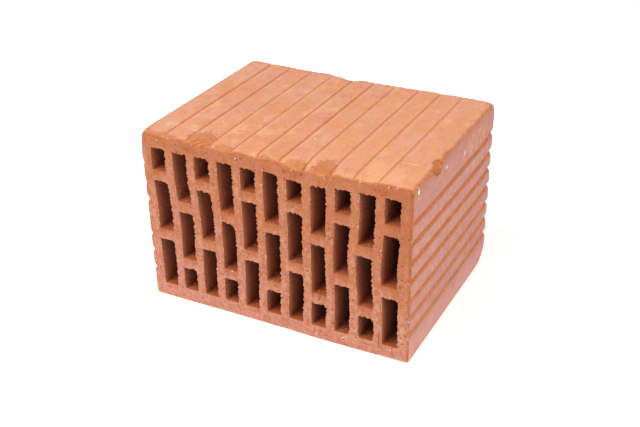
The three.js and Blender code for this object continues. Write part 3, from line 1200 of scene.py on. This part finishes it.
def make_skin_clay(tones):
    clay = Clay("pressed_clay", tones.skin)
    across, along, up = (clay.axis(number) for number in range(3))
    cloudy = clay.noise(32, 4, 0.6, stretch=(1, 0.7, 1), shift=3.0)
    blotch = clay.noise(8, 4, 0.62, stretch=(1, 0.75, 1), shift=11.0)
    torn = clay.noise(3.2, 4, 0.7, shift=19.0)
    grain = clay.noise(1.8, 3, 0.65, shift=7.0)
    colour = clay.mix(
        clay.ramp(clay.maths("ABSOLUTE", across), RIGHT - 2.2, RIGHT - 0.8),
        colour_top(clay, tones, cloudy, blotch), colour_side(clay, tones, cloudy, blotch))
    for size, depth in ((20, 0.05), (5, 0.06), (1.6, 0.07)):
        colour = clay.tinge(colour, size, depth, shift=size)
    # Groove bottoms: a thin line in the top, and a broad one with ragged edges in the sides.
    start = clay.ramp(up, TOP - 5, TOP - 3, 0.04, 0.42)
    ragged = clay.less(clay.maths("MULTIPLY_ADD", torn, 0.5, clay.attribute("grooved")), 0.25)
    bottom = clay.ramp(ragged, start, clay.plus(start, 0.4))
    # Bare clay: a thin band behind the front edges, patches, rubbed edges and the chip.
    behind, width = clay.less(along, FRONT), clay.ramp(up, TOP - 7, TOP - 4, 1.4, 3.0)
    band = clay.less(1.2, clay.maths("DIVIDE", behind, width))
    uneven = clay.ramp(clay.noise(14, 2, 0.6, shift=23.0), 0.35, 0.6, 0.55, 1.3)
    worn = clay.greatest(
        band, clay.spots(RUBBED_PATCHES, 1.0), clay.times(clay.attribute("worn"), uneven))
    chip = clay.attribute("chipped")
    worn = clay.greatest(clay.ramp(clay.maths("MULTIPLY_ADD", torn, 1.5, worn), 0.92, 1.3), chip)
    marks = clay.greatest(*(
        clay.times(clay.rings(middle, RING_SPACING), clay.spot(place, reach, 0.7))
        for middle, place, reach in DRAG_MARKS))
    lime = clay.greatest(
        clay.spots(WHITE_FLECKS, 0.3), clay.ramp(clay.attribute("limed"), 0.35, 0.75))
    colour = clay.coats(colour, (
        (tones.skin_dark, clay.ramp(grain, 0.52, 0.34, 0, 0.5)),
        (colour_grooves(clay, tones, up), bottom, clay.ramp(up, TOP - 5, TOP - 3, 0.95, 0.75)),
        (tones.groove, clay.spot(*SHORT_LINE, 0.8), 0.6),
        (colour_bare(clay, tones, torn, grain, behind, chip, marks), worn, 0.93),
        (tones.groove, clay.spot(*EDGE_STAIN, 0.9), clay.ramp(torn, 0.3, 0.5, 0.3, 0.9)),
        (LILAC, clay.spot(*LILAC_FLECK)),
        (tones.lime, lime),
        (tones.lime, clay.spot(*SCRATCH), clay.ramp(blotch, 0.35, 0.6, 0.2, 0.6)),
        (tones.lime, clay.grains(11, 0.06, 0.12, shift=2.0), 0.8),
    ))
    rough = clay.times(torn, clay.ramp(worn, 0, 1, 0.25, 1))
    clay.relief(((blotch, 0.3), (rough, 0.9), (grain, 0.3), (clay.less(1.0, marks), 0.45)))
    return clay.finish(colour)


def make_slot_clay(tones):
    clay = Clay("slot_clay", tones.cell)
    along = clay.maths("ABSOLUTE", clay.axis(1))
    drag = clay.noise(3, 3, 0.6, stretch=(1, 0.05, 1))
    cloudy = clay.noise(7, 4, 0.65, shift=3.0)
    grain = clay.noise(2, 3, 0.65, shift=8.0)
    sill = clay.ramp(clay.attribute("sill"), 0.6, 1.0)
    # Painted shade deeper inside the slots; it starts sooner on their floors than on their walls.
    start = clay.ramp(sill, 0, 1, BACK - 2, BACK + 8)
    reach = clay.ramp(sill, 0, 1, BACK - 50, BACK - 38)
    deep_shade_tone = clay.mix(clay.times(sill, 0.55), tones.cell_grain_and_shade, tones.pit_and_shade)
    colour = clay.coats(tones.cell, (
        (tones.sill, sill),
        (deep_shade_tone, clay.ramp(along, start, reach)),
        # Painted shade under the upper end of each slot.
        (tones.cell_grain_and_shade, clay.attribute("painted_roof_shade"), 0.3),
        # Painted shade on the floors from a few millimetres inside the mouth, which leaves a brighter
        # lip.
        (tones.pit_and_shade, sill, clay.ramp(along, BACK - 5, BACK - 8, 0, 0.25)),
        (tones.cell_grain_and_shade, clay.ramp(drag, 0.4, 0.66, 0, 0.25), clay.ramp(cloudy, 0.3, 0.7)),
        (tones.cell_grain_and_shade, clay.ramp(grain, 0.5, 0.35, 0, 0.4)),
        (tones.cut_pale, clay.ramp(drag, 0.62, 0.74, 0, 0.3)),
        (tones.cut_pale, clay.grains(3.5, 0.32, 0.5), 0.42),
    ))
    clay.relief(((cloudy, 0.6), (grain, 0.4)))
    return clay.finish(colour)


# ---- Operators -------------------------------------------------------------------------------


class CLAY_OT_block(bpy.types.Operator):
    """Model the worn clay block over its plain solid"""

    bl_idname = "clay.block"
    bl_label = "Worn Clay Block"

    def execute(self, context):
        scene = context.scene
        section = Section(scene.clay_section, scene.clay_grooves, scene.clay_wear)
        block = grid_section(section)
        draw_out(block)
        divide_for_chip(block)
        wear_block(block, section)
        tones = scene.clay_colours
        for make in (make_cut_clay, make_skin_clay, make_slot_clay):
            block.data.materials.append(make(tones))
        assign_clay(block, section)
        finish_block(block)
        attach(block, "root")
        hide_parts("clay_block")
        return {"FINISHED"}


FLOOR_WIDTH = 12.0
FLOOR_GAP = 0.1 * MM           # keeps the underside and the floor out of one plane
KEY_PLACE, FILL_PLACE = (-0.6, -1.0, 1.65), (1.6, -0.4, 0.9)
LAMP_WIDTH = 1.2
SENSOR_WIDTH = 36.0            # in millimetres
LAMP_AIM = Vector((0, 0, 0.1))
# Where the camera stands, and which ways its right side and its lens point.
CAMERA_PLACE = (0.4251, -0.8234, 0.5891)
CAMERA_RIGHT = Vector((0.8897, 0.4565, -0.0127))
CAMERA_AHEAD = Vector((-0.4048, 0.7755, -0.4846))


def make_floor_finish(stage):
    """Pale floor that the camera sees a touch brighter, so that only the shadow shows on it."""
    material = bpy.data.materials.new("pale_floor")
    floor = Nodes(material)
    shader = floor.tree.nodes["Principled BSDF"]
    shader.inputs["Base Color"].default_value = (*stage.floor, 1.0)
    shader.inputs["Roughness"].default_value = 1.0
    shader.inputs["Specular IOR Level"].default_value = 0.0
    seen = floor.add("ShaderNodeLightPath").outputs["Is Camera Ray"]
    glow, both = floor.add("ShaderNodeEmission"), floor.add("ShaderNodeAddShader")
    floor.put(floor.maths("MULTIPLY", seen, stage.floor_glow), glow.inputs["Strength"])
    floor.put(shader.outputs[0], both.inputs[0])
    floor.put(glow.outputs[0], both.inputs[1])
    floor.put(both.outputs[0], floor.tree.nodes["Material Output"].inputs["Surface"])
    return material


def make_surroundings(stage):
    """Even light from all around, where the camera itself sees plain white."""
    world = bpy.data.worlds.new("studio")
    around = Nodes(world)
    level = around.add("ShaderNodeMapRange")
    level.inputs["To Min"].default_value = stage.world_light
    level.inputs["To Max"].default_value = 1.0
    seen = around.add("ShaderNodeLightPath").outputs["Is Camera Ray"]
    background = around.tree.nodes["Background"]
    background.inputs["Color"].default_value = (1, 1, 1, 1)
    around.put(seen, level.inputs["Value"])
    around.put(level.outputs[0], background.inputs["Strength"])
    return world


def hang_lamp(name, place, power):
    """A round soft lamp that faces the block."""
    place = Vector(place)
    bpy.ops.object.light_add(type="AREA", location=place)
    lamp = bpy.context.object
    lamp.name = name
    lamp.rotation_euler = (LAMP_AIM - place).to_track_quat("-Z", "Y").to_euler()
    lamp.data.energy = power
    lamp.data.shape = "DISK"
    lamp.data.size = LAMP_WIDTH


class CLAY_OT_stage(bpy.types.Operator):
    """Lay the floor, hang the light and set the camera"""

    bl_idname = "clay.stage"
    bl_label = "Stage"

    def execute(self, context):
        scene, stage = context.scene, context.scene.clay_stage
        deselect_all()
        bpy.ops.mesh.primitive_plane_add(size=FLOOR_WIDTH, location=(0, 0, -FLOOR_GAP))
        floor = context.object
        floor.name = "floor"
        floor.data.materials.append(make_floor_finish(stage))
        scene.world = make_surroundings(stage)
        hang_lamp("key_lamp", KEY_PLACE, stage.key_light)
        hang_lamp("fill_lamp", FILL_PLACE, stage.fill_light)

        bpy.ops.object.camera_add()
        camera = context.object
        right, ahead = CAMERA_RIGHT.normalized(), CAMERA_AHEAD.normalized()
        up = right.cross(ahead).normalized()
        turned = Matrix((right, up, -ahead)).transposed().to_4x4()
        camera.matrix_world = Matrix.Translation(CAMERA_PLACE) @ turned
        camera.data.sensor_fit = "HORIZONTAL"
        camera.data.sensor_width = SENSOR_WIDTH
        camera.data.lens = stage.lens
        camera.data.clip_start = 0.01
        scene.camera = camera
        scene.view_settings.view_transform = "Standard"
        return {"FINISHED"}


class CLAY_PT_panel(bpy.types.Panel):
    """Builds the block and its stage"""

    bl_label = "Clay Block"
    bl_idname = "CLAY_PT_panel"
    bl_space_type = "VIEW_3D"
    bl_region_type = "UI"
    bl_category = "Clay Block"

    def draw(self, context):
        layout = self.layout
        layout.operator(CLAY_OT_block.bl_idname)
        layout.operator(CLAY_OT_stage.bl_idname)
        for title, name in GROUPS:
            box = layout.box()
            box.label(text=title)
            group = getattr(context.scene, name)
            for key in group.__annotations__:
                box.prop(group, key)


GROUPS = (
    ("Section", "clay_section"), ("Grooves", "clay_grooves"), ("Wear", "clay_wear"),
    ("Colours", "clay_colours"), ("Stage", "clay_stage"),
)
CLASSES = (
    ClaySection, KeyGrooves, EdgeWear, ClayColours, StageSettings,
    CLAY_OT_block, CLAY_OT_stage, CLAY_PT_panel,
)


def register():
    for item in CLASSES:
        bpy.utils.register_class(item)
    for (_, name), kind in zip(GROUPS, CLASSES):
        setattr(bpy.types.Scene, name, bpy.props.PointerProperty(type=kind))


def unregister():
    for _, name in GROUPS:
        delattr(bpy.types.Scene, name)
    for item in reversed(CLASSES):
        bpy.utils.unregister_class(item)


def main():
    register()
    bpy.ops.clay.block()
    bpy.ops.clay.stage()


if __name__ == "__main__":
    main()
